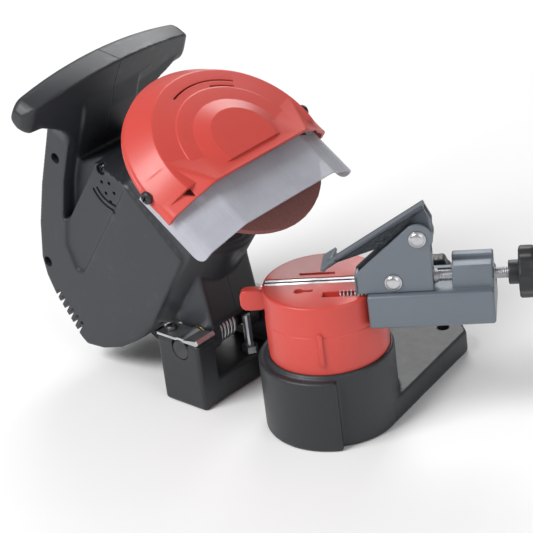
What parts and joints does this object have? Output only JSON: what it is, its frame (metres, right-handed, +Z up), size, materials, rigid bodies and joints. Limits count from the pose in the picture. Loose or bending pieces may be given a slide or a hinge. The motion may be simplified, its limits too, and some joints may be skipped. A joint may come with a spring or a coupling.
{
  "type": "saw chain sharpener",
  "caption": "Bench-mounted electric saw chain sharpener: a tilting grinding head with handle, guard and clear shield over a swivelling vise with a chain stop and an adjusting screw.",
  "frame": {"origin": "on the underside of the base, straight below the middle of the head's hinge pin", "axes": "+Z up from the bench, +X from the hinge pin towards the vise, +Y towards the far end of the base flange, along the hinge pin"},
  "size_m": [0.3003, 0.1625, 0.1888],
  "materials": {
    "black_casting": "black textured paint",
    "black_housing": "fine grained black",
    "red_plastic": "satin red",
    "grey_paint": "grey hammer paint",
    "bright_steel": "bright plated",
    "dark_steel": "black oxide",
    "stone": "coarse bonded grit",
    "clear_shield": "clear",
    "black_plastic": "moulded black",
    "copper": "varnished copper",
    "lamination": "stacked sheet",
    "carbon": "pressed carbon",
    "brass": "plain brass"
  },
  "bodies": {
    "base": {"base_casting": "black_casting", "hinge_pin": "dark_steel", "saddle_strap_near": "bright_steel", "saddle_strap_far": "bright_steel", "strap_screw_near": "dark_steel", "strap_screw_far": "dark_steel", "depth_stop_screw": "bright_steel", "depth_stop_nut": "bright_steel", "head_return_spring": "bright_steel"},
    "head": {"housing_near": "black_housing", "housing_far": "black_housing", "housing_screw_1": "dark_steel", "housing_screw_2": "dark_steel", "housing_screw_3": "dark_steel", "hinge_bush_near": "brass", "hinge_bush_far": "brass", "stator_core": "lamination", "field_coils": "copper", "front_bearing": "bright_steel", "rear_bearing": "bright_steel", "carbon_brush_near": "carbon", "carbon_brush_far": "carbon", "brush_holder_near": "brass", "brush_holder_far": "brass", "wheel_guard": "red_plastic", "clear_shield": "clear_shield", "guard_backplate": "dark_steel", "guard_screw_1": "dark_steel", "guard_screw_2": "dark_steel", "shield_screw_near": "black_plastic", "shield_screw_far": "black_plastic", "switch_body": "black_plastic", "cord_gland": "black_plastic"},
    "spindle": {"motor_shaft": "bright_steel", "armature_core": "lamination", "armature_windings": "copper", "commutator": "copper", "cooling_fan": "black_plastic", "grinding_wheel": "stone", "inner_flange": "bright_steel", "outer_flange": "bright_steel", "spindle_nut": "bright_steel"},
    "rocker": {"switch_rocker": "red_plastic"},
    "table": {"turntable": "red_plastic", "pivot_bolt": "bright_steel", "pivot_washer": "bright_steel", "vise_body": "grey_paint", "fixed_jaw": "bright_steel"},
    "knob": {"clamp_knob": "black_plastic"},
    "jaw": {"moving_jaw": "bright_steel"},
    "jaw_clamp": {"jaw_screw": "dark_steel", "jaw_knob": "black_plastic"},
    "stop_carriage": {"carriage": "grey_paint", "carriage_rivet": "bright_steel", "lever_rivet": "bright_steel", "carriage_spring": "bright_steel"},
    "lever": {"stop_lever": "grey_paint"},
    "adjuster": {"adjusting_screw": "bright_steel", "screw_collar": "bright_steel", "adjusting_knob": "black_plastic"}
  },
  "joints": [
    {"name": "head_tilt", "type": "hinge", "parent": "base", "child": "head", "pos_m": [0, 0, 0.0357], "axis": [0, 1, 0], "range_deg": [0, 14], "stiffness_Nm_per_rad": 0.4, "springref_deg": -20.05},
    {"name": "spindle_turn", "type": "hinge", "parent": "head", "child": "spindle", "pos_m": [0.02458, 0, 0.14269], "axis": [0.5878, 0, 0.809], "continuous": true},
    {"name": "switch_press", "type": "hinge", "parent": "head", "child": "rocker", "pos_m": [-0.08345, 0.03, 0.03823], "axis": [0.5878, 0, 0.809], "range_deg": [0, 10]},
    {"name": "table_swivel", "type": "hinge", "parent": "base", "child": "table", "pos_m": [0.079, 0, 0.0363], "axis": [0, 0, 1], "range_deg": [-70, 0]},
    {"name": "clamp_knob_turn", "type": "hinge", "parent": "table", "child": "knob", "pos_m": [0.079, 0, 0.018], "axis": [0, 0, 1], "range_deg": [0, 360]},
    {"name": "jaw_slide", "type": "slide", "parent": "table", "child": "jaw", "axis": [0.5736, -0.8192, 0], "range_m": [0, 0.0008]},
    {"name": "jaw_screw_turn", "type": "hinge", "parent": "jaw", "child": "jaw_clamp", "pos_m": [0.12815, 0.03442, 0.0797], "axis": [0.5736, -0.8192, 0], "range_deg": [0, 289]},
    {"name": "carriage_slide", "type": "slide", "parent": "table", "child": "stop_carriage", "axis": [0.8192, 0.5736, 0], "range_m": [-0.007, 0.007]},
    {"name": "adjuster_turn", "type": "hinge", "parent": "stop_carriage", "child": "adjuster", "pos_m": [0.13761, 0.0209, 0.091], "axis": [0.8192, 0.5736, 0], "range_deg": [-2521, 2521]},
    {"name": "lever_lift", "type": "hinge", "parent": "stop_carriage", "child": "lever", "pos_m": [0.13294, 0.01763, 0.1154], "axis": [-0.5736, 0.8192, 0], "range_deg": [0, 75]}
  ],
  "couplings": [
    {"joint": "jaw_screw_turn", "follows": "jaw_slide", "rad_per_m": 6283.2},
    {"joint": "adjuster_turn", "follows": "carriage_slide", "rad_per_m": 6283.2}
  ]
}
